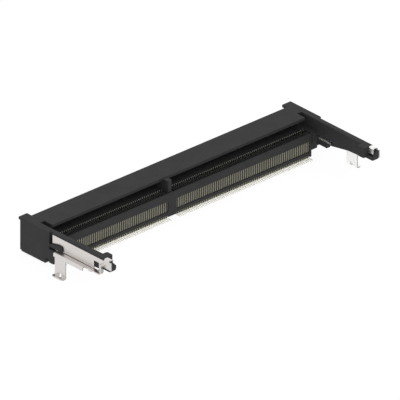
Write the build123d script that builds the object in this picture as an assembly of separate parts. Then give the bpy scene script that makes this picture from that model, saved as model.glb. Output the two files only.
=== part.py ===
from build123d import *
import os
from math import cos, radians, sin

# A right-angle memory module socket: 260 contacts on a 0.5 mm pitch, key off centre.
# X runs along the connector, +Y points to its rear, Z = 0 is the circuit board.
# Places along Y are given as a distance forward of the rear face, and places in
# height as a drop below the top face, as on a connector drawing.

# Overall sizes
height = 8.1                # board to top face
body_depth = 8.0            # rear face to the front wall
tip_reach = 25.4            # arm tips forward of the rear face
rear_tab_reach = 1.36       # rear tabs behind the rear face
board_gap = 0.4             # clearance under the moulding
fit = 0.1                   # clearance of the latch in its cut-outs

# Contacts
pitch = 0.5
left_count = 58
right_count = 72
key_pitches = 5             # pitches between the contacts on either side of the key
row_shift = -0.19           # middle of the row, off the middle of the socket
contact_width = 0.2         # sheet thickness, across the row
contact_gap = 0.05          # clearance each side of a contact in its groove
contacts_per_bank = 11      # most contacts in one moulded bank
tail_height = 0.15
front_tail_reach = 0.95     # front tails beyond the front wall
rear_tail_length = 0.9      # rear tails beyond the rear face

# Widths, outward from the ends of the contact row
beam_margin = 0.63          # last contact to the end of the bar
corner_width = 0.28         # front corner posts, inward from the end of the bar
pocket_width = 1.17         # end of the bar to the arm
arm_thickness = 0.95
cheek = 0.5                 # end block beyond the arm
plate_proud = 0.1           # latch plate beyond the arm
sheet = 0.25                # latch metal
hook_width = 1.2
shelf_width = 1.4           # shelf beyond the plate
strip_width = 0.8
foot_reach = 0.9            # solder foot beyond the flange

# Section of the moulding
roof_thickness = 0.9
roof_nose = 0.45            # rounding under the front edge of the roof
roof_setback = 2.26         # front wall forward of the top's front edge
slot_depth = 3.54
slot_height = 1.6
trough_step = 0.09          # trough behind the top's front edge
trough_sink = 0.55          # trough below the floor of the slot
lip_width = 0.35
lip_sink = 0.15             # lip below the floor of the slot
lip_chamfer = 0.3
rear_wall = 0.4
rear_groove = 0.4           # room behind the slot for the rear contacts
slot_back_gap = 0.4         # over the wall at the back of the slot

# Front windows
window_sink = 1.19          # window below the trough
window_height = 2.4
front_skin = 0.15           # wall in front of the grooves
groove_depth = 0.45
groove_sink = 0.3           # grooves below the trough
gallery_height = 1.0        # room under the trough for the necks of the front contacts
room_sink = 0.26            # room for the tails, below the window
tail_window_sink = 0.66     # opening over the tails, below the window

# Side view of a front contact
front_stem = 0.3
shoulder_sink = 0.55        # shoulder below the trough
shoulder_fall = 0.25        # the back of the shoulder is this much lower
neck_sink = 0.15
neck_front_step = 0.52      # forward of the back of the trough
neck_back_step = 0.18
neck_fall = 0.2
front_tip_step = 0.3
front_tip_rise = 0.26       # tip above the floor of the slot

# Side view of a rear contact
rear_stem = 0.25
rear_beam_height = 0.3      # at the stem
rear_tip_setback = 0.85     # tip behind the top's front edge
rear_tip_fall = 0.35        # the beam slopes down by this much

# Key rib
key_width = 1.0
key_top_drop = 0.2
key_setback = 0.3           # behind the lip
key_round = 0.3

# End blocks
block_setback = 0.4         # behind the front wall
block_rear = 0.9            # end blocks stand this far behind the rear face
block_bottom = 1.0
block_foot_bottom = 0.75
block_foot_rear = -0.5
block_foot_setback = 1.1
block_notch_drop = 6.1      # underside of the block in front of its foot
pocket_length = 2.34        # behind the top's front edge
tab_width = 2.25
tab_thickness = 0.55
lug_length = 1.7            # lug of the left block only
lug_bottom_drop = 6.8
lug_radius = 0.6
seat_length = 3.3           # seat under the root of the arm
corner_reach = 0.5          # corner post forward of the front wall
corner_bottom_drop = 4.8
seat_bottom_drop = 5.3

# Arms, along the arm from the front of the end block
arm_taper = 0.4             # the inner face comes in by this much at the tip
arm_root_length = 4.4
arm_root_depth = 0.65       # moulding below the latch shelf at the root
arm_thin_drop = 3.2
arm_tip_drop = 2.9
arm_rim = 0.5               # black rim above the metal plate
boss_reach = 0.35           # locking boss beyond the metal plate
boss_height = 1.1
boss_rear_height = 0.55
boss_lift = 0.05            # boss above the slit
boss_crest_length = 2.3     # where the boss stops rising
boss_length = 3.7
boss_nose = 0.45            # length of the sloping nose

# Arms, along the arm back from the tip
arm_thin_length = 7.9
tip_length = 3.05
tip_drop = 2.6
tip_chamfer = 0.2
tip_nose = 0.85             # rounding under the tip
cradle_length = 2.1
cradle_drop = 1.75
prong_thickness = 0.5
prong_flat = 0.35           # width of the prong's top
prong_top_drop = 0.4
prong_inner_drop = 1.15
knob_reach = 1.05
knob_setback = 2.05
knob_length = 1.8
knob_radius = 0.35
knob_bottom_drop = 2.2

# Latches, along the arm from the front of the end block
plate_gap = 0.6
plate_slit_drop = 3.25      # the slit between the spring plate and the shelf
plate_slit = 0.1
slit_start = 4.0
shelf_start = 2.36
tab_start = 1.5
tab_length = 3.5
tab_reach = 0.55            # tab through the arm, beyond its inner face
left_leg_start = 0.44       # from the rear end of the shelf
leg_width = 3.1
leg_hole_width = 0.75
leg_hole_height = 0.9
leg_hole_reach = 0.25       # the hole runs this far into the foot
flange_height = 0.8
bend_radius = 0.35          # outside of every fold
edge_match = 0.01           # how near an edge is to the place of its fold

# Latches, along the arm back from the tip
shelf_setback = 6.9
right_leg_setback = 1.1     # from the front end of the shelf
strip_setback = 2.8
slit_setback = 4.0
heel_setback = 2.4
heel_drop = 1.95
hook_length = 2.0
hook_height = 1.28
plate_front_drop = 2.05      # lower corner of the plate at the tip
window_setback = 5.0
window_length = 1.5
window_drop = 1.5
strip_tab_setback = 5.9
strip_tab_length = 0.9
strip_tab_height = 0.5
curl_radius = 0.55
curl_height = 1.7
curl_inset = 0.15           # the curl is narrower than the strip

# Worked out: places along Y, forward of the rear face
depth = tip_reach + rear_tab_reach
rear_y = depth / 2 - rear_tab_reach
roof_depth = body_depth - roof_setback
slot_back = roof_depth - slot_depth
trough_back = roof_depth - trough_step
trough_front = body_depth - lip_width
groove_front = body_depth - front_skin
groove_back = groove_front - groove_depth
block_front = body_depth - block_setback
pocket_rear = roof_depth - pocket_length
key_front = trough_front - key_setback
corner_front = body_depth + corner_reach
boss_front = block_front + boss_length
shelf_rear = block_front + shelf_start
shelf_front = tip_reach - shelf_setback
slit_rear = block_front + slit_start
slit_front = tip_reach - slit_setback
inner_tab_rear = block_front + tab_start
inner_tab_front = inner_tab_rear + tab_length
left_leg_rear = shelf_rear + left_leg_start
right_leg_rear = shelf_front - right_leg_setback - leg_width
strip_front = tip_reach - strip_setback
tip_rear = tip_reach - tip_length
cradle_rear = tip_reach - cradle_length
hook_rear = tip_reach - hook_length
nose_forward = tip_reach - tip_nose
nose_drop = tip_drop - tip_nose
hook_front = tip_reach - prong_thickness - fit

# Worked out: drops below the top face
slot_floor_drop = roof_thickness + slot_height
trough_drop = slot_floor_drop + trough_sink
lip_drop = slot_floor_drop + lip_sink
slot_back_drop = roof_thickness + slot_back_gap
window_top_drop = trough_drop + window_sink
window_bottom_drop = window_top_drop + window_height
shelf_drop = plate_slit_drop + plate_slit
shelf_low = shelf_drop + sheet
arm_root_drop = shelf_low + arm_root_depth
seat_drop = shelf_low + 2 * fit
boss_bottom_drop = plate_slit_drop - boss_lift

# Worked out: places along X
row_half = pitch * (left_count + right_count - 2 + key_pitches) / 2
key_half_gap = key_pitches * pitch / 2
key_centre = row_shift - row_half + pitch * (left_count - 1) + key_half_gap
groove_width = contact_width + 2 * contact_gap
beam_half = row_half + beam_margin
corner_inner = beam_half - corner_width
arm_inner = beam_half + pocket_width
arm_tip_inner = arm_inner - arm_taper
arm_outer = arm_inner + arm_thickness
end_half = arm_outer + cheek
plate_outer = arm_outer + plate_proud
plate_inner = plate_outer - sheet
hook_inner = plate_outer - hook_width
flange_outer = plate_outer + shelf_width
foot_outer = flange_outer + foot_reach
strip_outer = plate_outer + strip_width


def contact_positions(side):
    """Places along the row: the left group ends and the right group starts at the key."""
    if side == "left":
        last = key_centre - key_half_gap
        return [last - pitch * (left_count - 1 - i) for i in range(left_count)]
    first = key_centre + key_half_gap
    return [first + pitch * i for i in range(right_count)]


def block(x_from, x_to, forward_from, forward_to, drop_from, drop_to):
    """Box between two stations, two distances forward and two drops below the top."""
    size = (x_to - x_from, forward_to - forward_from, drop_to - drop_from)
    middle = (
        (x_from + x_to) / 2,
        rear_y - (forward_from + forward_to) / 2,
        height - (drop_from + drop_to) / 2,
    )
    return Pos(*middle) * Box(*size)


def side_face(points):
    """Face in side view from (forward, drop) corners."""
    corners = [(rear_y - forward, height - drop) for forward, drop in points]
    return make_face(Polyline(*corners, close=True))


def side_prism(points, x_from, x_to):
    """Prism across the connector with its outline given in side view."""
    face = Plane.YZ.offset(x_from) * side_face(points)
    return extrude(face, amount=x_to - x_from)


def front_prism(points, forward_from, forward_to):
    """Prism along an arm with its outline given in front view as (x, drop) corners."""
    corners = [(x, height - drop) for x, drop in points]
    start = Plane.XZ.offset(forward_from - rear_y)
    return extrude(start * make_face(Polyline(*corners, close=True)), amount=forward_to - forward_from)


def plan_prism(points, drop_from, drop_to):
    """Upright prism with its outline given in plan as (x, forward) corners."""
    corners = [(x, rear_y - forward) for x, forward in points]
    face = Plane.XY.offset(height - drop_to) * make_face(Polyline(*corners, close=True))
    return extrude(face, amount=drop_to - drop_from)


def beam():
    """The bar between the end blocks, with the module slot and the front trough."""
    bottom = height - board_gap
    outline = [
        (0, 0),
        (roof_depth, 0),
        (roof_depth, roof_thickness),
        (slot_back, roof_thickness),
        (slot_back, slot_floor_drop),
        (trough_back, slot_floor_drop),
        (trough_back, trough_drop),
        (trough_front, trough_drop),
        (trough_front, lip_drop),
        (body_depth - lip_chamfer, lip_drop),
        (body_depth, lip_drop + lip_chamfer),
        (body_depth, bottom),
        (0, bottom),
    ]
    solid = side_prism(outline, -beam_half, beam_half)
    nose = (0, rear_y - roof_depth, height - roof_thickness)
    solid = fillet(solid.edges().filter_by(Axis.X).sort_by_distance(nose)[0], roof_nose)
    corner = block(
        corner_inner, beam_half, block_front, body_depth, corner_bottom_drop, bottom
    )
    return solid - corner - mirror(corner, about=Plane.YZ)


def front_grooves(positions):
    """Upright grooves behind the front wall, one for the stem of each front contact."""
    low = window_bottom_drop + room_sink + fit
    outline = [
        (groove_back, low),
        (groove_front, low),
        (groove_front, trough_drop + groove_sink),
        (groove_back, trough_drop + groove_sink),
    ]
    face = side_face(outline)
    grooves = []
    for x in positions:
        start = Plane.YZ.offset(x - groove_width / 2)
        grooves.append(extrude(start * face, amount=groove_width))
    return grooves


def gallery(positions):
    """Room for the necks of one group of front contacts, open to the trough above."""
    return block(
        positions[0] - groove_width / 2,
        positions[-1] + groove_width / 2,
        trough_back,
        groove_back,
        trough_drop - fit,
        trough_drop + gallery_height,
    )


def front_openings(positions):
    """The window that shows one group of contacts, and the opening and room for their tails."""
    start = positions[0] - groove_width / 2
    end = positions[-1] + groove_width / 2
    front = body_depth + fit
    tail_top = window_bottom_drop + tail_window_sink
    room_top = window_bottom_drop + room_sink
    return [
        block(start, end, groove_front, front, window_top_drop, window_bottom_drop),
        block(start, end, groove_front, front, tail_top, height),
        block(start, end, groove_back, groove_front, room_top, height),
    ]


def rear_channel(positions):
    """Room for one group of rear contacts, behind the slot and above its back wall."""
    outline = [
        (rear_wall, height),
        (rear_wall + rear_groove, height),
        (rear_wall + rear_groove, slot_back_drop),
        (slot_back, slot_back_drop),
        (slot_back, roof_thickness),
        (rear_wall, roof_thickness),
    ]
    margin = groove_width / 2
    return side_prism(outline, positions[0] - margin, positions[-1] + margin)


def key_rib():
    """Rib that fills the module's key notch, with a rounded front."""
    half = key_width / 2
    rib = block(key_centre - half, key_centre + half, slot_back, key_front, key_top_drop, trough_drop)
    upright = rib.edges().filter_by(Axis.Z).group_by(Axis.Y)[0]
    return fillet(upright, key_round)


def end_block():
    """Right end block, with its rear tab, its foot and the seat under the arm."""
    bottom = height - block_bottom
    foot_front = block_front - block_foot_setback
    seat_front = block_front + seat_length
    solid = block(beam_half, end_half, 0, block_front, 0, bottom)
    solid += block(end_half - tab_width, end_half, -block_rear, 0, 0, bottom)
    solid -= block(beam_half, end_half, foot_front, block_front, block_notch_drop, bottom)
    solid += block(
        end_half - tab_width, end_half, -rear_tab_reach, -block_rear, 0, tab_thickness
    )
    foot_low = height - block_foot_bottom
    solid += block(end_half - tab_width, end_half, block_foot_rear, foot_front, bottom, foot_low)
    solid += block(arm_inner, arm_outer, block_front, seat_front, seat_drop, seat_bottom_drop)
    solid += block(corner_inner, arm_inner, block_front, corner_front, lip_drop, corner_bottom_drop)
    pocket = block(beam_half, arm_inner, pocket_rear, corner_front, -1, lip_drop)
    return solid - pocket


def end_lug():
    """Lug in front of an end block, with a rounded lower corner."""
    lug_front = block_front + lug_length
    lug = block(arm_inner, end_half, block_front, lug_front, seat_drop, lug_bottom_drop)
    low_edges = lug.edges().filter_by(Axis.X).group_by(Axis.Z)[0]
    return fillet(low_edges.sort_by(Axis.Y)[0], lug_radius)


def arm():
    """Right arm: a tapered wall with a rim, a recess for the plate and a cradle at its tip."""
    root = pocket_rear
    side = [
        (root, 0),
        (cradle_rear, 0),
        (cradle_rear, cradle_drop),
        *arc_points(nose_forward, nose_drop, tip_nose, (0, -30, -60, -90)),
        (tip_rear, tip_drop),
        (tip_rear - tip_chamfer, arm_tip_drop),
        (tip_reach - arm_thin_length, arm_thin_drop),
        (block_front + arm_root_length, arm_root_drop),
        (root, arm_root_drop),
    ]
    plan = [
        (arm_inner, root),
        (arm_outer, root),
        (arm_outer, tip_reach),
        (arm_tip_inner, tip_reach),
        (arm_inner, block_front),
    ]
    wall = side_prism(side, arm_tip_inner, arm_outer)
    wall &= plan_prism(plan, 0, arm_root_drop)
    wall -= block(plate_inner, plate_outer, block_front, tip_reach, arm_rim, arm_root_drop)
    wall -= block(
        plate_inner - 2 * sheet,
        plate_outer,
        block_front,
        block_front + plate_gap,
        arm_rim,
        plate_slit_drop,
    )
    wall -= block(
        arm_tip_inner,
        plate_outer,
        inner_tab_rear - fit,
        inner_tab_front + fit,
        shelf_drop - fit,
        shelf_low + fit,
    )
    return wall + prong() + knob() + boss()


def prong():
    """Front wall of the cradle, lower towards the module."""
    outer = plate_inner - fit
    corners = [
        (arm_tip_inner, cradle_drop),
        (arm_tip_inner, prong_inner_drop),
        (outer - prong_flat, prong_top_drop),
        (outer, prong_top_drop),
        (outer, cradle_drop),
    ]
    return front_prism(corners, tip_reach - prong_thickness, tip_reach)


def knob():
    """Lug on the inside of the tip that holds the module's side notch."""
    front = tip_reach - knob_setback
    inner = arm_tip_inner - knob_reach
    solid = block(inner, arm_tip_inner + fit, front - knob_length, front, 0, knob_bottom_drop)
    corners = solid.edges().filter_by(Axis.Z).group_by(Axis.X)[0]
    return fillet(corners, knob_radius)


def boss_outline(gap):
    """Side view of the locking boss, or of the plate's notch around it."""
    crest = boss_bottom_drop - boss_height - gap
    nose = boss_front + gap
    low = boss_bottom_drop + gap
    return [
        (block_front - fit, boss_bottom_drop - boss_rear_height - gap),
        (block_front + boss_crest_length, crest),
        (nose - boss_nose, crest),
        (nose - boss_nose / 3, crest + boss_nose / 3),
        (nose, crest + boss_nose),
        (nose, low),
        (block_front - fit, low),
    ]


def boss():
    """Raised boss with a sloping nose that locks the latch plate to the arm."""
    return side_prism(boss_outline(0), plate_inner - fit, plate_outer + boss_reach)


def housing():
    """The black moulding, one piece."""
    end = end_block() + arm()
    left_end = mirror(end + end_lug(), about=Plane.YZ)
    solid = beam() + end + left_end
    solid += key_rib()
    for side in ("left", "right"):
        positions = contact_positions(side)
        solid -= rear_channel(positions)
        solid -= gallery(positions)
        solid -= front_grooves(positions)
        solid -= front_openings(positions)
    return solid


def front_contact_face():
    """Blanked outline of a front contact: tail, stem in the window, tip in the slot."""
    stem_front = groove_front - contact_gap
    stem_back = stem_front - front_stem
    tail_end = body_depth + front_tail_reach
    tail_top = height - tail_height
    outline = [
        (tail_end, height),
        (tail_end, tail_top),
        (stem_front, tail_top),
        (stem_front, trough_drop + shoulder_sink),
        (trough_back + neck_front_step, trough_drop + neck_sink),
        (trough_back + front_tip_step, slot_floor_drop - front_tip_rise),
        (trough_back + neck_back_step, trough_drop + neck_sink + neck_fall),
        (stem_back, trough_drop + shoulder_sink + shoulder_fall),
        (stem_back, height),
    ]
    return side_face(outline)


def rear_contact_face():
    """Blanked outline of a rear contact: tail, stem behind the slot, beam over the module."""
    front = rear_wall + rear_stem
    tail_top = height - tail_height
    outline = [
        (-rear_tail_length, height),
        (-rear_tail_length, tail_top),
        (rear_wall, tail_top),
        (rear_wall, roof_thickness),
        (roof_depth - rear_tip_setback, roof_thickness + rear_tip_fall),
        (front, roof_thickness + rear_beam_height),
        (front, height),
    ]
    return side_face(outline)


def bank(face, positions):
    """A group of separate contacts, one at each place along the row."""
    contacts = []
    for x in positions:
        start = Plane.YZ.offset(x - contact_width / 2)
        contacts.append(extrude(start * face, amount=contact_width))
    return Compound(children=contacts)


def banks_of(positions):
    """Split one group into banks of about the same size."""
    count = -(-len(positions) // contacts_per_bank)
    edges = [round(i * len(positions) / count) for i in range(count + 1)]
    return [positions[edges[i]:edges[i + 1]] for i in range(count)]


def fold(solid, x, drop, radius):
    """Round the edges that run forward at one x and one drop."""
    z = height - drop

    def at_corner(edge):
        middle = edge.center()
        return abs(middle.X - x) < edge_match and abs(middle.Z - z) < edge_match

    return fillet(solid.edges().filter_by(Axis.Y).filter_by(at_corner), radius)


def latch_plate():
    """Upright spring plate with its hook, the slit below it and the curl window."""
    plate_rear = block_front + plate_gap
    heel_front = tip_reach - heel_setback
    window_rear = tip_reach - window_setback
    outline = [
        (plate_rear, arm_rim),
        (hook_rear, arm_rim),
        (hook_rear, 0),
        (hook_front, 0),
        (hook_front, bend_radius),
        (tip_reach, bend_radius),
        (tip_reach, plate_front_drop),
        (heel_front, heel_drop),
        (heel_front, plate_slit_drop),
        (plate_rear, plate_slit_drop),
    ]
    plate = side_prism(outline, plate_inner, plate_outer)
    plate += latch_hook()
    plate = fold(plate, plate_outer, 0, bend_radius)
    plate = fold(plate, plate_inner, sheet, bend_radius - sheet)
    plate -= side_prism(boss_outline(fit), plate_inner - fit, plate_outer + fit)
    plate -= block(
        plate_inner,
        plate_outer,
        window_rear,
        window_rear + window_length,
        window_drop,
        plate_slit_drop,
    )
    return plate


def latch_hook():
    """Fold over the arm's tip: across the top and down inside the cradle."""
    top = block(hook_inner, plate_outer, hook_rear, hook_front, 0, sheet)
    leg = block(hook_inner, hook_inner + sheet, hook_rear, hook_front, 0, hook_height)
    return fold(top + leg, hook_inner, 0, bend_radius)


def latch_shelf(leg_rear):
    """Shelf, downturned flange and solder leg, folded from one blank."""
    leg_front = leg_rear + leg_width
    skirt = flange_outer - sheet
    flange_drop = shelf_drop + flange_height
    solid = block(plate_inner, flange_outer, shelf_rear, shelf_front, shelf_drop, shelf_low)
    solid += block(skirt, flange_outer, shelf_rear, shelf_front, shelf_drop, flange_drop)
    solid += block(skirt, flange_outer, leg_rear, leg_front, shelf_drop, height)
    solid += latch_foot(leg_rear, leg_front)
    solid = fold(solid, flange_outer, shelf_drop, bend_radius)
    solid = fold(solid, skirt, shelf_low, bend_radius - sheet)
    solid = fold(solid, skirt, height, bend_radius)
    solid = fold(solid, flange_outer, height - sheet, bend_radius - sheet)
    middle = (leg_rear + leg_front) / 2
    return solid - block(
        skirt - sheet,
        flange_outer + leg_hole_reach,
        middle - leg_hole_width / 2,
        middle + leg_hole_width / 2,
        height - leg_hole_height,
        height,
    )


def latch_foot(leg_rear, leg_front):
    """Foot turned outward on the board, with rounded toes."""
    foot = block(flange_outer - sheet, foot_outer, leg_rear, leg_front, height - sheet, height)
    toes = foot.edges().filter_by(Axis.Z).group_by(Axis.X)[-1]
    return fillet(toes, bend_radius)


def latch_strip():
    """Webs from the plate down to the shelf, the inner tab and the strip to the curl."""
    tab_inner = arm_inner - tab_reach
    tab_rear = tip_reach - strip_tab_setback
    solid = block(tab_inner, plate_outer, inner_tab_rear, inner_tab_front, shelf_drop, shelf_low)
    solid += block(plate_inner, strip_outer, shelf_front, strip_front, shelf_drop, shelf_low)
    solid += block(
        strip_outer - sheet,
        strip_outer,
        tab_rear,
        tab_rear + strip_tab_length,
        shelf_drop,
        shelf_drop + strip_tab_height,
    )
    solid += block(plate_inner, plate_outer, inner_tab_rear, slit_rear, plate_slit_drop, shelf_drop)
    solid += block(plate_inner, plate_outer, slit_front, strip_front, plate_slit_drop, shelf_drop)
    return solid


def arc_points(centre_forward, centre_drop, radius, angles):
    """Points on a circle in side view; angle 0 is forward and 90 is up."""
    points = []
    for angle in angles:
        turn = radians(angle)
        points.append((centre_forward + radius * cos(turn), centre_drop - radius * sin(turn)))
    return points


def latch_curl():
    """Open curl at the front end of the strip."""
    lower = shelf_low - curl_radius
    upper = shelf_low - curl_height
    thin = curl_radius - sheet
    outside = arc_points(strip_front, lower, curl_radius, (-90, -60, -30, 0))
    outside += arc_points(strip_front, upper, curl_radius, (0, 30, 60, 90))
    inside = arc_points(strip_front, upper, thin, (90, 60, 30, 0))
    inside += arc_points(strip_front, lower, thin, (0, -30, -60, -90))
    return side_prism(outside + inside, plate_outer, strip_outer - curl_inset)


def latch(leg_rear):
    """One-piece stamping on the outside of the right arm."""
    return latch_plate() + latch_shelf(leg_rear) + latch_strip() + latch_curl()


def save(name, shape):
    shape.label = name
    export_step(shape, f"parts/{name}.step")


os.makedirs("parts", exist_ok=True)
save("housing", housing())
save("right_latch", latch(right_leg_rear))
save("left_latch", mirror(latch(left_leg_rear), about=Plane.YZ))
for side in ("left", "right"):
    for number, positions in enumerate(banks_of(contact_positions(side)), start=1):
        save(f"front_contacts_{side}_{number}", bank(front_contact_face(), positions))
        save(f"rear_contacts_{side}_{number}", bank(rear_contact_face(), positions))
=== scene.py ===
# %% [markdown]
# # A memory module socket
#
# The part is the long black socket on a laptop's board that takes a small memory card. Two arms with
# bright spring latches hold the card's sides, and two rows of fine contacts press on its edge.
# The construction comes in as a fixed frame of CAD solids. This lesson gives each solid its finish,
# adds the fine pieces that the solids leave out, and sets up a camera, a floor and soft light.

from math import cos, radians, sin

import bpy
import numpy as np
from mathutils import Matrix, Vector


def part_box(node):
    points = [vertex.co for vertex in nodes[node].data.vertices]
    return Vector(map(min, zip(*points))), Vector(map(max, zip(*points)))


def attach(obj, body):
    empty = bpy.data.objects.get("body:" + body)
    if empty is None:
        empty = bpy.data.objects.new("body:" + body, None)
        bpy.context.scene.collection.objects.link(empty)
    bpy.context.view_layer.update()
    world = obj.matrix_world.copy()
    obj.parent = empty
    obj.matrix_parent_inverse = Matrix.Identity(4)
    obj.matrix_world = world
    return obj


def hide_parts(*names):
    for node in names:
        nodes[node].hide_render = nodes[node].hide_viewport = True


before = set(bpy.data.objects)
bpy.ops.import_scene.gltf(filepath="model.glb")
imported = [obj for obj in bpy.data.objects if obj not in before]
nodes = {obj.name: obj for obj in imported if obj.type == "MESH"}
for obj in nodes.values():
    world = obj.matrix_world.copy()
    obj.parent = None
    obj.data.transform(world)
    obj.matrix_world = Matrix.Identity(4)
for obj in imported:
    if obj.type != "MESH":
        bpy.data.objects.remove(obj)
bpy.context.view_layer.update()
print("named nodes in the frame:", len(nodes))

# %% [markdown]
# ## The camera
#
# The photograph is a parallel view: lines that are parallel on the socket stay parallel in the picture.
# A long lens from far away comes close to that, and an orthographic camera gives it exactly. It looks
# from the front left and a little from above. Its turn and tilt were read from the slopes of the bar and
# the arms, and its scale from the contact pitch.

# %% Aim an orthographic camera
VIEW_TURN = radians(42.33)
VIEW_TILT = radians(27.76)
PICTURE_WIDTH = 0.07938
AIM = Vector((-0.00521, -0.00574, 0.00816))
CAMERA_DISTANCE = 0.5
CLIP_NEAR = 0.01
CLIP_FAR = 3.0


def view_axes(turn, tilt):
    """Right, up and look directions of a camera turned from +Y towards +X and tilted down."""
    look = Vector((sin(turn) * cos(tilt), cos(turn) * cos(tilt), -sin(tilt)))
    right = Vector((cos(turn), -sin(turn), 0.0))
    return right, right.cross(look), look


right, up, look = view_axes(VIEW_TURN, VIEW_TILT)
lens = bpy.data.cameras.new("camera")
lens.type = "ORTHO"
lens.ortho_scale = PICTURE_WIDTH
lens.clip_start = CLIP_NEAR
lens.clip_end = CLIP_FAR
camera = bpy.data.objects.new("camera", lens)
turned = Matrix((right, up, -look)).transposed().to_4x4()
camera.matrix_world = Matrix.Translation(AIM - look * CAMERA_DISTANCE) @ turned
bpy.context.scene.collection.objects.link(camera)
bpy.context.scene.camera = camera
print("camera at", [round(v, 4) for v in camera.location])

# %% [markdown]
# ## Soft studio light
#
# The light is that of a white tent, even from all sides. Several lamps could give that, but a world of
# one strength gives softer shade with less noise. One wide lamp at the front left lifts the faces that
# point forward and to the left, which see less of the tent than the top does. The background is white
# because the camera, and what metal reflects, see a world of strength 1. The light that falls on the
# part is set apart from that, by the kind of each ray.

# %% Tell the rays that look from the rays that light
def math_node(tree, operation, first, second=None, clamp=False):
    """A math node on sockets or numbers; returns its output."""
    node = tree.nodes.new("ShaderNodeMath")
    node.operation = operation
    node.use_clamp = clamp
    for place, value in enumerate((first, second)):
        if value is None:
            continue
        if isinstance(value, (int, float)):
            node.inputs[place].default_value = value
        else:
            tree.links.new(value, node.inputs[place])
    return node.outputs[0]


def seen_directly(tree):
    """1 for rays of the camera, of reflections and through glass, and 0 for other rays."""
    path = tree.nodes.new("ShaderNodeLightPath")
    seen = path.outputs["Is Camera Ray"]
    for kind in ("Is Glossy Ray", "Is Transmission Ray"):
        seen = math_node(tree, "MAXIMUM", seen, path.outputs[kind])
    return seen


def join_by_ray(tree, lighting, looking, output):
    """Ends a tree in two shaders: the first for rays that light the part, the second for rays that look."""
    choose = tree.nodes.new("ShaderNodeMixShader")
    tree.links.new(seen_directly(tree), choose.inputs["Fac"])
    tree.links.new(lighting.outputs[0], choose.inputs[1])
    tree.links.new(looking.outputs[0], choose.inputs[2])
    out = tree.nodes.new(output)
    tree.links.new(choose.outputs[0], out.inputs["Surface"])


# %% Make the white world
AMBIENT = 0.8
BACKGROUND = 1.0

scene = bpy.context.scene
scene.view_settings.view_transform = "Standard"
world = bpy.data.worlds.new("white tent")
scene.world = world
world.use_nodes = True


def white_glow(tree, kind, strength):
    """A node of the given kind that sends out white light of the given strength."""
    node = tree.nodes.new(kind)
    node.inputs["Color"].default_value = (1.0, 1.0, 1.0, 1.0)
    node.inputs["Strength"].default_value = strength
    return node


sky = world.node_tree
sky.nodes.clear()
join_by_ray(
    sky,
    white_glow(sky, "ShaderNodeBackground", AMBIENT),
    white_glow(sky, "ShaderNodeBackground", BACKGROUND),
    "ShaderNodeOutputWorld",
)
print("world lights at", AMBIENT, "and shows at", BACKGROUND)

# %% Set one wide lamp at the front left
LAMP_WIDTH = 0.5
LAMP_POWER = 0.9
LAMP_PLACE = Vector((-0.35, -0.45, 0.2))


def set_lamp(name, place, width, power):
    """A square area lamp at a place, turned to the middle of the part."""
    lamp = bpy.data.lights.new(name, "AREA")
    lamp.size = width
    lamp.energy = power
    holder = bpy.data.objects.new(name, lamp)
    holder.location = place
    holder.rotation_euler = (-place).to_track_quat("-Z", "Y").to_euler()
    scene.collection.objects.link(holder)


set_lamp("wide lamp", LAMP_PLACE, LAMP_WIDTH, LAMP_POWER)
print("lamp of", LAMP_POWER, "W,", round(LAMP_PLACE.length, 2), "m from the part")

# %% [markdown]
# ## A pale floor
#
# The socket stands on a plain white table. A white material alone would come out grey beside the white
# background. So for the camera the floor glows nearly white by itself and reflects only a little light,
# and that little keeps a faint shadow of the part. Other rays find a plain pale floor.

# %% Make a mesh from arrays
def grid_faces(rows, columns):
    """Four-cornered faces of a grid of points, row by row, with no loop over points."""
    r, c = np.meshgrid(np.arange(rows - 1), np.arange(columns - 1), indexing="ij")
    first = (r * columns + c).ravel()
    return np.stack([first, first + columns, first + columns + 1, first + 1], axis=1)


def mesh_from_arrays(name, points, *faces):
    """A mesh object from an array of points and arrays of faces, each with equal corner counts."""
    mesh = bpy.data.meshes.new(name)
    mesh.from_pydata(points.reshape(-1, 3).tolist(), [], [f for block in faces for f in block.tolist()])
    mesh.update()
    obj = bpy.data.objects.new(name, mesh)
    scene.collection.objects.link(obj)
    return obj


# %% Lay the floor
FLOOR_HALF = 1.5
FLOOR_GLOW = 0.93
FLOOR_SHADE = 0.1
FLOOR_PALE = 0.9


def plain_grey(tree, value):
    """A diffuse shader of one grey."""
    node = tree.nodes.new("ShaderNodeBsdfDiffuse")
    node.inputs["Color"].default_value = (value, value, value, 1.0)
    return node


ends = np.linspace(-FLOOR_HALF, FLOOR_HALF, 2)
along, across = np.meshgrid(ends, ends)
flat = np.stack([along, across, np.zeros_like(along)], axis=-1)
floor = mesh_from_arrays("floor", flat, grid_faces(2, 2)[:, ::-1])
paint = bpy.data.materials.new("pale floor")
paint.use_nodes = True
tree = paint.node_tree
tree.nodes.clear()
both = tree.nodes.new("ShaderNodeAddShader")
tree.links.new(plain_grey(tree, FLOOR_SHADE).outputs[0], both.inputs[0])
tree.links.new(white_glow(tree, "ShaderNodeEmission", FLOOR_GLOW).outputs[0], both.inputs[1])
join_by_ray(tree, plain_grey(tree, FLOOR_PALE), both, "ShaderNodeOutputMaterial")
floor.data.materials.append(paint)
print("floor of", 2 * FLOOR_HALF, "m")
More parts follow.
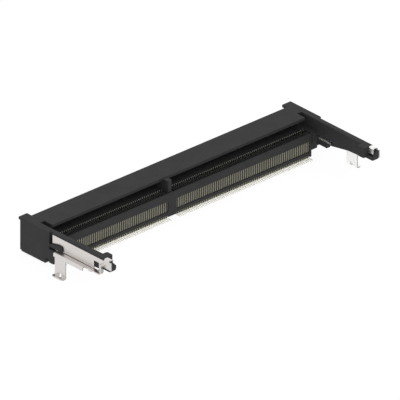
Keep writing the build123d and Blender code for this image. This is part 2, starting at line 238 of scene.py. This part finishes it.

# %% [markdown]
# ## Effects that the finishes share
#
# Every finish here has fine grain, and every real edge is a little round. An image could paint both, but
# it would stretch over corners and blur from close up. So both effects are node groups, built once, that
# work from noise and from the shape itself. The grain group gives a tone and a height from noise on Object
# coordinates. The edge group gives a softened normal, which makes sharp CAD edges catch light as small
# radii do, and a mask that is 1 along edges, for wear and a painted highlight. Two more groups tell where a
# point is: one marks the faces that stand square to an axis, so that cut edges can look unlike rolled
# faces and a contact's flat sides can take painted shade, and one marks what lies above a height.

# %% Start a shared group
def new_group(name, inputs, outputs):
    """An empty shader group with named sockets; inputs and outputs are (name, type, value)."""
    group = bpy.data.node_groups.new(name, "ShaderNodeTree")
    for label, kind, value in inputs:
        group.interface.new_socket(label, in_out="INPUT", socket_type=kind).default_value = value
    for label, kind in outputs:
        group.interface.new_socket(label, in_out="OUTPUT", socket_type=kind)
    return group, group.nodes.new("NodeGroupInput"), group.nodes.new("NodeGroupOutput")


# %% Fine grain
GRAIN_DETAIL = 3.0
GRAIN_HARDNESS = 0.6
MOTTLE_DETAIL = 2.0


def build_grain():
    """Tone and height of a fine grain that can be drawn out along one axis."""
    group, come, go = new_group(
        "fine grain",
        [
            ("Stretch", "NodeSocketVector", (1.0, 1.0, 1.0)),
            ("Scale", "NodeSocketFloat", 4000.0),
            ("Mottle Scale", "NodeSocketFloat", 300.0),
        ],
        [("Tone", "NodeSocketFloat"), ("Mottle", "NodeSocketFloat"), ("Height", "NodeSocketFloat")],
    )
    place = group.nodes.new("ShaderNodeTexCoord")
    drawn = group.nodes.new("ShaderNodeVectorMath")
    drawn.operation = "MULTIPLY"
    group.links.new(place.outputs["Object"], drawn.inputs[0])
    group.links.new(come.outputs["Stretch"], drawn.inputs[1])
    fine = group.nodes.new("ShaderNodeTexNoise")
    fine.inputs["Detail"].default_value = GRAIN_DETAIL
    fine.inputs["Roughness"].default_value = GRAIN_HARDNESS
    group.links.new(drawn.outputs[0], fine.inputs["Vector"])
    group.links.new(come.outputs["Scale"], fine.inputs["Scale"])
    broad = group.nodes.new("ShaderNodeTexNoise")
    broad.inputs["Detail"].default_value = MOTTLE_DETAIL
    group.links.new(place.outputs["Object"], broad.inputs["Vector"])
    group.links.new(come.outputs["Mottle Scale"], broad.inputs["Scale"])
    group.links.new(fine.outputs["Fac"], go.inputs["Tone"])
    group.links.new(broad.outputs["Fac"], go.inputs["Mottle"])
    group.links.new(fine.outputs["Fac"], go.inputs["Height"])
    return group


GRAIN = build_grain()
print("nodes in the grain group:", len(GRAIN.nodes))

# %% Soft edges
EDGE_RADIUS = 0.00005
EDGE_SAMPLES = 4


def build_edges():
    """Softened normal and edge mask: how far the rounded normal turns from the flat one."""
    group, come, go = new_group(
        "soft edges",
        [("Strength", "NodeSocketFloat", 6.0)],
        [("Mask", "NodeSocketFloat"), ("Normal", "NodeSocketVector")],
    )
    rounded = group.nodes.new("ShaderNodeBevel")
    rounded.samples = EDGE_SAMPLES
    rounded.inputs["Radius"].default_value = EDGE_RADIUS
    flat = group.nodes.new("ShaderNodeNewGeometry")
    turn = group.nodes.new("ShaderNodeVectorMath")
    turn.operation = "DOT_PRODUCT"
    group.links.new(rounded.outputs[0], turn.inputs[0])
    group.links.new(flat.outputs["Normal"], turn.inputs[1])
    away = math_node(group, "SUBTRACT", 1.0, turn.outputs["Value"])
    mask = math_node(group, "MULTIPLY", away, come.outputs["Strength"], clamp=True)
    group.links.new(mask, go.inputs["Mask"])
    group.links.new(rounded.outputs[0], go.inputs["Normal"])
    return group


SOFT_EDGES = build_edges()
print("edges rounded by", round(EDGE_RADIUS * 1000, 3), "mm")

# %% Square faces and heights
SQUARE_FROM = 0.75
SQUARE_FULL = 0.95


def ramp(tree, value, low, high):
    """0 below low, 1 above high and a smooth rise between them."""
    node = tree.nodes.new("ShaderNodeMapRange")
    node.interpolation_type = "SMOOTHSTEP"
    for label, bound in (("From Min", low), ("From Max", high)):
        if isinstance(bound, float):
            node.inputs[label].default_value = bound
        else:
            tree.links.new(bound, node.inputs[label])
    tree.links.new(value, node.inputs["Value"])
    return node.outputs["Result"]


def build_square_faces():
    """Masks from the size of a normal's x and y: 1 on faces square to that axis, 0 on the others."""
    masks = [("Across X", "NodeSocketFloat"), ("Across Y", "NodeSocketFloat")]
    group, _, go = new_group("square faces", [], masks)
    surface = group.nodes.new("ShaderNodeNewGeometry")
    parts = group.nodes.new("ShaderNodeSeparateXYZ")
    group.links.new(surface.outputs["Normal"], parts.inputs[0])
    for axis in "XY":
        facing = math_node(group, "ABSOLUTE", parts.outputs[axis])
        group.links.new(ramp(group, facing, SQUARE_FROM, SQUARE_FULL), go.inputs["Across " + axis])
    return group


def build_height():
    """A mask from the height over the board: 0 below the line, 1 above it, blurred by the blur."""
    group, come, go = new_group(
        "above a line",
        [("Line", "NodeSocketFloat", 0.0), ("Blur", "NodeSocketFloat", 0.0001)],
        [("Mask", "NodeSocketFloat")],
    )
    place = group.nodes.new("ShaderNodeTexCoord")
    parts = group.nodes.new("ShaderNodeSeparateXYZ")
    group.links.new(place.outputs["Object"], parts.inputs[0])
    low = math_node(group, "SUBTRACT", come.outputs["Line"], come.outputs["Blur"])
    high = math_node(group, "ADD", come.outputs["Line"], come.outputs["Blur"])
    group.links.new(ramp(group, parts.outputs["Z"], low, high), go.inputs["Mask"])
    return group


SQUARE_FACES = build_square_faces()
HEIGHT = build_height()
print("shared groups:", [group.name for group in (GRAIN, SOFT_EDGES, SQUARE_FACES, HEIGHT)])

# %% [markdown]
# ## Finishes of the moulding and the metal
#
# The housing is a glass-filled moulding: nearly black, matte, with a fine spark-eroded grain and faint
# flow marks. The latches are tin-plated spring steel, with a rolling grain along the sheet and greyer cut
# edges; the left latch is painted darker as painted shade and the right lighter as painted light. The
# contacts are a plated copper alloy, tinned at the tails. Their necks in the slot, their tips and their
# flat sides in the grooves are darkened with painted shade, least at the tips. Each could be a node tree
# of its own, but one function makes them all, because they differ mostly in their numbers: a mottled base
# colour, layers of other colours where a mask says so, edges in another colour for wear and a painted
# highlight, and a fine grain in the height.

# %% Mix two colours
def tinted(tree, colour, amount, factor):
    """A colour that a factor of 0 to 1 makes darker or lighter by the amount."""
    node = tree.nodes.new("ShaderNodeMix")
    node.data_type = "RGBA"
    low = [c * (1.0 - amount) for c in colour]
    high = [min(1.0, c * (1.0 + amount)) for c in colour]
    node.inputs["A"].default_value = (*low, 1.0)
    node.inputs["B"].default_value = (*high, 1.0)
    tree.links.new(factor, node.inputs["Factor"])
    return node.outputs["Result"]


def mixed(tree, first, second, mask):
    """Two colours, the second where the mask is high; either may be a socket or three numbers."""
    node = tree.nodes.new("ShaderNodeMix")
    node.data_type = "RGBA"
    for place, colour in (("A", first), ("B", second)):
        if isinstance(colour, tuple):
            node.inputs[place].default_value = (*colour, 1.0)
        else:
            tree.links.new(colour, node.inputs[place])
    tree.links.new(mask, node.inputs["Factor"])
    return node.outputs["Result"]


# %% Masks by place and by direction
TIN_LINE = 0.00024
TIN_BLUR = 0.00006
NECK_LINE = 0.0046
NECK_BLUR = 0.0002
TIP_LINE = 0.0057
TIP_TOP = 0.0063
TIP_BLUR = 0.00006


def used(tree, group, settings=()):
    """A shared group in a material, with its inputs set."""
    node = tree.nodes.new("ShaderNodeGroup")
    node.node_tree = group
    for socket, value in settings:
        node.inputs[socket].default_value = value
    return node


def above(tree, line, blur):
    """1 above a height over the board and 0 below it."""
    return used(tree, HEIGHT, (("Line", line), ("Blur", blur))).outputs["Mask"]


def tinned_tail(tree):
    """1 near the board, where the tail was dipped in tin, and 0 on the spring above."""
    return math_node(tree, "SUBTRACT", 1.0, above(tree, TIN_LINE, TIN_BLUR))


def painted_shade_on_necks(tree):
    """1 on the necks and beams inside the slot, which are darkened as painted shade."""
    return above(tree, NECK_LINE, NECK_BLUR)


def lighter_painted_shade_on_tips(tree):
    """1 on the last part of a front contact, darkened as painted shade, but less than the necks."""
    below = math_node(tree, "SUBTRACT", 1.0, above(tree, TIP_TOP, TIP_BLUR))
    return math_node(tree, "MULTIPLY", above(tree, TIP_LINE, TIP_BLUR), below)


def painted_shade_on_sheet_sides(tree):
    """1 on a contact's flat sides, darkened as painted shade for the shade of their grooves."""
    return used(tree, SQUARE_FACES).outputs["Across X"]


def sheared_edge(tree):
    """1 on the latch sheet's cut edges, which face along the arm."""
    return used(tree, SQUARE_FACES).outputs["Across Y"]


print("tin line at", round(TIN_LINE * 1000, 2), "mm above the board")


# %% One recipe for every finish
def make_finish(
    name, colour, mottle, layers, wear_and_highlight_colour, wear, roughness, grain, bump, fixed, dull=None
):
    """A Principled material. Each of the layers is a colour and the function that gives its mask. The
    roughness is its middle and its span, the grain its stretch, scale and mottle scale, and the bump its
    strength and depth. Where the mask of dull is 1, the roughness is higher by its amount."""
    material = bpy.data.materials.new(name)
    material.use_nodes = True
    tree = material.node_tree
    shader = tree.nodes["Principled BSDF"]
    pattern = used(tree, GRAIN, zip(("Stretch", "Scale", "Mottle Scale"), grain))
    edges = used(tree, SOFT_EDGES, [("Strength", wear)])
    base = tinted(tree, colour, mottle, pattern.outputs["Mottle"])
    for coat, mask in layers:
        base = mixed(tree, base, coat, mask(tree))
    # The edge colour is partly wear and partly a painted highlight.
    worn_and_highlit = mixed(tree, base, wear_and_highlight_colour, edges.outputs["Mask"])
    tree.links.new(worn_and_highlit, shader.inputs["Base Color"])
    middle, span = roughness
    spread = math_node(tree, "MULTIPLY", pattern.outputs["Tone"], span)
    spread = math_node(tree, "ADD", spread, middle - span / 2)
    if dull is not None:
        amount, mask = dull
        spread = math_node(tree, "ADD", spread, math_node(tree, "MULTIPLY", mask(tree), amount))
    tree.links.new(spread, shader.inputs["Roughness"])
    relief = tree.nodes.new("ShaderNodeBump")
    relief.inputs["Strength"].default_value, relief.inputs["Distance"].default_value = bump
    tree.links.new(pattern.outputs["Height"], relief.inputs["Height"])
    tree.links.new(edges.outputs["Normal"], relief.inputs["Normal"])
    tree.links.new(relief.outputs["Normal"], shader.inputs["Normal"])
    for socket, value in fixed.items():
        shader.inputs[socket].default_value = value
    print("made the", name, "of", len(tree.nodes), "nodes")
    return material


# %% Black moulding
black_moulding = make_finish(
    "black moulding",
    colour=(0.0232, 0.0232, 0.0236),
    mottle=0.3,
    layers=[],
    # Lighter edges: partly wear, partly a painted highlight.
    wear_and_highlight_colour=(0.06, 0.06, 0.062),
    wear=2.0,
    roughness=(0.7, 0.12),
    grain=((1.0, 1.0, 1.0), 9000.0, 350.0),
    bump=(0.25, 0.000004),
    fixed={"Specular IOR Level": 0.3},
)

# %% Tin plate, with painted shade on the left latch and painted light on the right
tin_plates_in_painted_light_and_shade = {}
# The two latches are one metal: the darker left tone is painted shade, the lighter right tone painted
# light.
for side, tone in (("left", (0.69, 0.66, 0.64)), ("right", (0.92, 0.915, 0.9))):
    tin_plates_in_painted_light_and_shade[side] = make_finish(
        side + " tin plate",
        colour=tone,
        mottle=0.03,
        layers=[((0.42, 0.41, 0.4), sheared_edge)],
        wear_and_highlight_colour=(0.86, 0.85, 0.84),
        wear=1.5,
        roughness=(0.34, 0.1),
        grain=((1.0, 0.08, 1.0), 9000.0, 500.0),
        bump=(0.15, 0.000003),
        fixed={"Metallic": 1.0},
    )

# %% Contact plate
contact_plate = make_finish(
    "contact plate",
    colour=(0.29, 0.28, 0.213),
    mottle=0.2,
    layers=[
        # The neck, tip and side layers are painted shade; the tails' tin is the contact's own colour.
        ((0.04, 0.04, 0.037), painted_shade_on_necks),
        ((0.15, 0.15, 0.142), lighter_painted_shade_on_tips),
        ((0.06, 0.057, 0.045), painted_shade_on_sheet_sides),
        ((1.0, 0.99, 0.92), tinned_tail),
    ],
    wear_and_highlight_colour=(0.5, 0.49, 0.42),
    wear=1.0,
    roughness=(0.36, 0.1),
    grain=((1.0, 1.0, 0.1), 12000.0, 450.0),
    bump=(0.15, 0.000002),
    fixed={"Metallic": 1.0},
    dull=(0.4, tinned_tail),
)


# %% Give each node its finish
def finish_for(node):
    """The finish of a CAD node, by its name."""
    if node == "housing":
        return black_moulding
    if node.endswith("latch"):
        return tin_plates_in_painted_light_and_shade[node.split("_")[0]]
    return contact_plate


for name, obj in nodes.items():
    for slot in obj.material_slots:
        slot.link = "OBJECT"
        slot.material = finish_for(name)
print("finished nodes:", sum(len(obj.material_slots) > 0 for obj in nodes.values()))

# %% [markdown]
# ## A profile carried across the row
#
# Contacts and ribs are flat shapes that repeat every half millimetre. Each one is an outline seen from
# the side, with its corners rounded, carried across its thickness. An Array modifier could repeat one of
# them, but worked out as one array a whole bank is a plain mesh at once, with each copy just where the
# CAD solid stands. The outline is given as on a drawing: how far forward of the housing's rear face, how
# far below its top, and the rounding, in millimetres.

# %% Round the corners of an outline
MM = 0.001
TOP = 8.1 * MM
REAR_TAB = 1.36 * MM
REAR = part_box("housing")[1][1] - REAR_TAB
SAME_POINT = 1e-8


def rounded_outline(drawing, steps=3):
    """Corners (forward, drop, rounding) as points (y, z): each corner becomes the parabola
    (1-t)^2 P + 2t(1-t) C + t^2 Q, where P and Q lie on its two edges at the rounding from C."""
    table = np.array(drawing) * MM
    corner = np.stack([REAR - table[:, 0], TOP - table[:, 1]], axis=1)
    towards = [np.roll(corner, shift, axis=0) - corner for shift in (1, -1)]
    start, end = [corner + table[:, 2:] * w / np.linalg.norm(w, axis=1, keepdims=True) for w in towards]
    t = np.linspace(0.0, 1.0, steps)[None, :, None]
    bend = (1 - t) ** 2 * start[:, None] + 2 * t * (1 - t) * corner[:, None] + t**2 * end[:, None]
    points = bend.reshape(-1, 2)
    apart = np.linalg.norm(points - np.roll(points, 1, axis=0), axis=1) > SAME_POINT
    points = points[apart]
    turn = np.roll(points, -1, axis=0)
    area = np.sum(points[:, 0] * turn[:, 1] - points[:, 1] * turn[:, 0])
    return points if area > 0 else points[::-1]


print("rear face of the housing at y =", round(REAR / MM, 3), "mm")


# %% Carry an outline across its thickness
def carried_across(name, outline, centres, offsets, insets):
    """Copies of an outline at the centres along x: layer l stands at x + offset l and is the outline
    drawn in by inset l along its normals; neighbouring layers are joined and both ends are closed."""
    ahead = np.roll(outline, -1, axis=0) - np.roll(outline, 1, axis=0)
    normal = np.stack([ahead[:, 1], -ahead[:, 0]], axis=1)
    normal /= np.linalg.norm(normal, axis=1, keepdims=True)
    layers = outline[None] - np.array(insets)[:, None, None] * normal[None]
    copies, count, corners = len(centres), len(offsets), len(outline)
    points = np.empty((copies, count, corners, 3))
    points[..., 0] = centres[:, None, None] + np.array(offsets)[None, :, None]
    points[..., 1:] = layers[None]
    index = np.arange(copies * count * corners).reshape(copies, count, corners)
    low, high = index[:, :-1], index[:, 1:]
    walls = np.stack([low, np.roll(low, -1, axis=2), np.roll(high, -1, axis=2), high], axis=-1)
    caps = np.concatenate([index[:, 0, ::-1], index[:, -1]])
    obj = mesh_from_arrays(name, points, walls.reshape(-1, 4), caps)
    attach(obj, "root")
    return obj


# %% [markdown]
# ## Contacts with the bends of real ones
#
# A front contact is stamped: its tail lies on the board, its stem stands in the window, and its neck
# bends back to a rounded point that lifts the module's edge. A rear contact's beam lies under the roof and
# ends in a point that faces down. The CAD banks are straight-edged stand-ins. A Bevel modifier would round
# all their edges alike, so each bank is replaced by contacts from a drawing with a rounding for each
# corner. The places come from the bank's own box and the pitch.

# %% Form the contacts
PITCH = 0.5 * MM
SHEET = 0.2 * MM
FRONT_CONTACT = [
    (8.95, 8.1, 0.01),
    (8.95, 8.06, 0.01),
    (8.4, 7.95, 0.2),
    (7.8, 7.95, 0.12),
    (7.8, 3.62, 0.3),
    (6.45, 3.28, 0.25),
    (6.14, 2.42, 0.12),
    (5.98, 2.24, 0.1),
    (5.84, 2.5, 0.12),
    (5.9, 3.38, 0.25),
    (7.5, 3.87, 0.3),
    (7.5, 8.1, 0.2),
]
REAR_CONTACT = [
    (-0.9, 8.1, 0.01),
    (-0.9, 8.06, 0.01),
    (-0.35, 7.95, 0.2),
    (0.4, 7.95, 0.12),
    (0.4, 0.92, 0.25),
    (4.3, 1.02, 0.2),
    (4.86, 1.2, 0.08),
    (4.72, 1.34, 0.1),
    (4.2, 1.22, 0.2),
    (0.65, 1.2, 0.2),
    (0.65, 8.1, 0.2),
]


def places_in(node):
    """The x of each contact in a bank: from the first to the last by one pitch."""
    low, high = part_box(node)
    count = round((high[0] - low[0] - SHEET) / PITCH) + 1
    return low[0] + SHEET / 2 + PITCH * np.arange(count)


contact_faces = 0
for kind, drawing in (("front", FRONT_CONTACT), ("rear", REAR_CONTACT)):
    outline = rounded_outline(drawing)
    for node in [name for name in nodes if name.startswith(kind)]:
        formed = carried_across(
            node + "_formed", outline, places_in(node), (-SHEET / 2, SHEET / 2), (0.0, 0.0)
        )
        formed.data.materials.append(contact_plate)
        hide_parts(node)
        contact_faces += len(formed.data.polygons)
print("faces in the formed contacts:", contact_faces)

# %% [markdown]
# ## The combs of the moulding
#
# Between the front contacts' necks the moulding has thin ribs, which keep the contacts apart. From a step
# away they make the trough look dark and finely toothed. Under the front bar a second comb stands between
# the stems, with a ledge behind it: black pieces set as painted shade where the floor under the bar lies in
# shadow, so that the glowing floor doesn't show between the tails' roots. A dark stripe in the finish could
# fake both combs from the front, but not from other sides, so they are ribs in the mesh. Each one is as
# thick as the gap between two grooves, and its long edges are drawn in a little.

# %% Set the ribs between the contacts
RIB = 0.2 * MM
RIB_SOFT = 0.02 * MM
TROUGH_RIB = [
    (5.63, 2.85, 0.1),
    (6.3, 2.85, 0.1),
    (7.3, 3.05, 0.1),
    (7.67, 3.05, 0.0),
    (7.67, 3.07, 0.0),
    (7.42, 3.07, 0.0),
    (7.42, 4.07, 0.0),
    (5.63, 4.07, 0.0),
]
# The foot comb and the ledge are painted shade: black moulding where the floor under the bar lies in
# shadow.
SHADE_FOOT_RIB = [(7.0, 6.95, 0.0), (7.78, 6.95, 0.0), (7.78, 8.0, 0.06), (7.0, 8.0, 0.06)]
SHADE_LEDGE = [(7.0, 6.95, 0.0), (7.44, 6.95, 0.0), (7.44, 8.0, 0.06), (7.0, 8.0, 0.06)]


def moulded(name, drawing, centres, half):
    """Copies of a drawing in the moulding's black, each with softened long edges, at the centres."""
    piece = carried_across(
        name,
        rounded_outline(drawing),
        centres,
        (-half, RIB_SOFT - half, half - RIB_SOFT, half),
        (RIB_SOFT, 0.0, 0.0, RIB_SOFT),
    )
    piece.data.materials.append(black_moulding)


for side in ("left", "right"):
    banks = [places_in(name) for name in nodes if name.startswith("front_contacts_" + side)]
    row = np.sort(np.concatenate(banks))
    between = (row[1:] + row[:-1]) / 2
    moulded("trough_comb_" + side, TROUGH_RIB, between, RIB / 2)
    moulded("shade_foot_comb_" + side, SHADE_FOOT_RIB, between, RIB / 2)
    moulded("shade_ledge_" + side, SHADE_LEDGE, row[[0, -1]].mean(keepdims=True), (row[-1] - row[0]) / 2)
    print("ribs in each", side, "comb:", len(between))
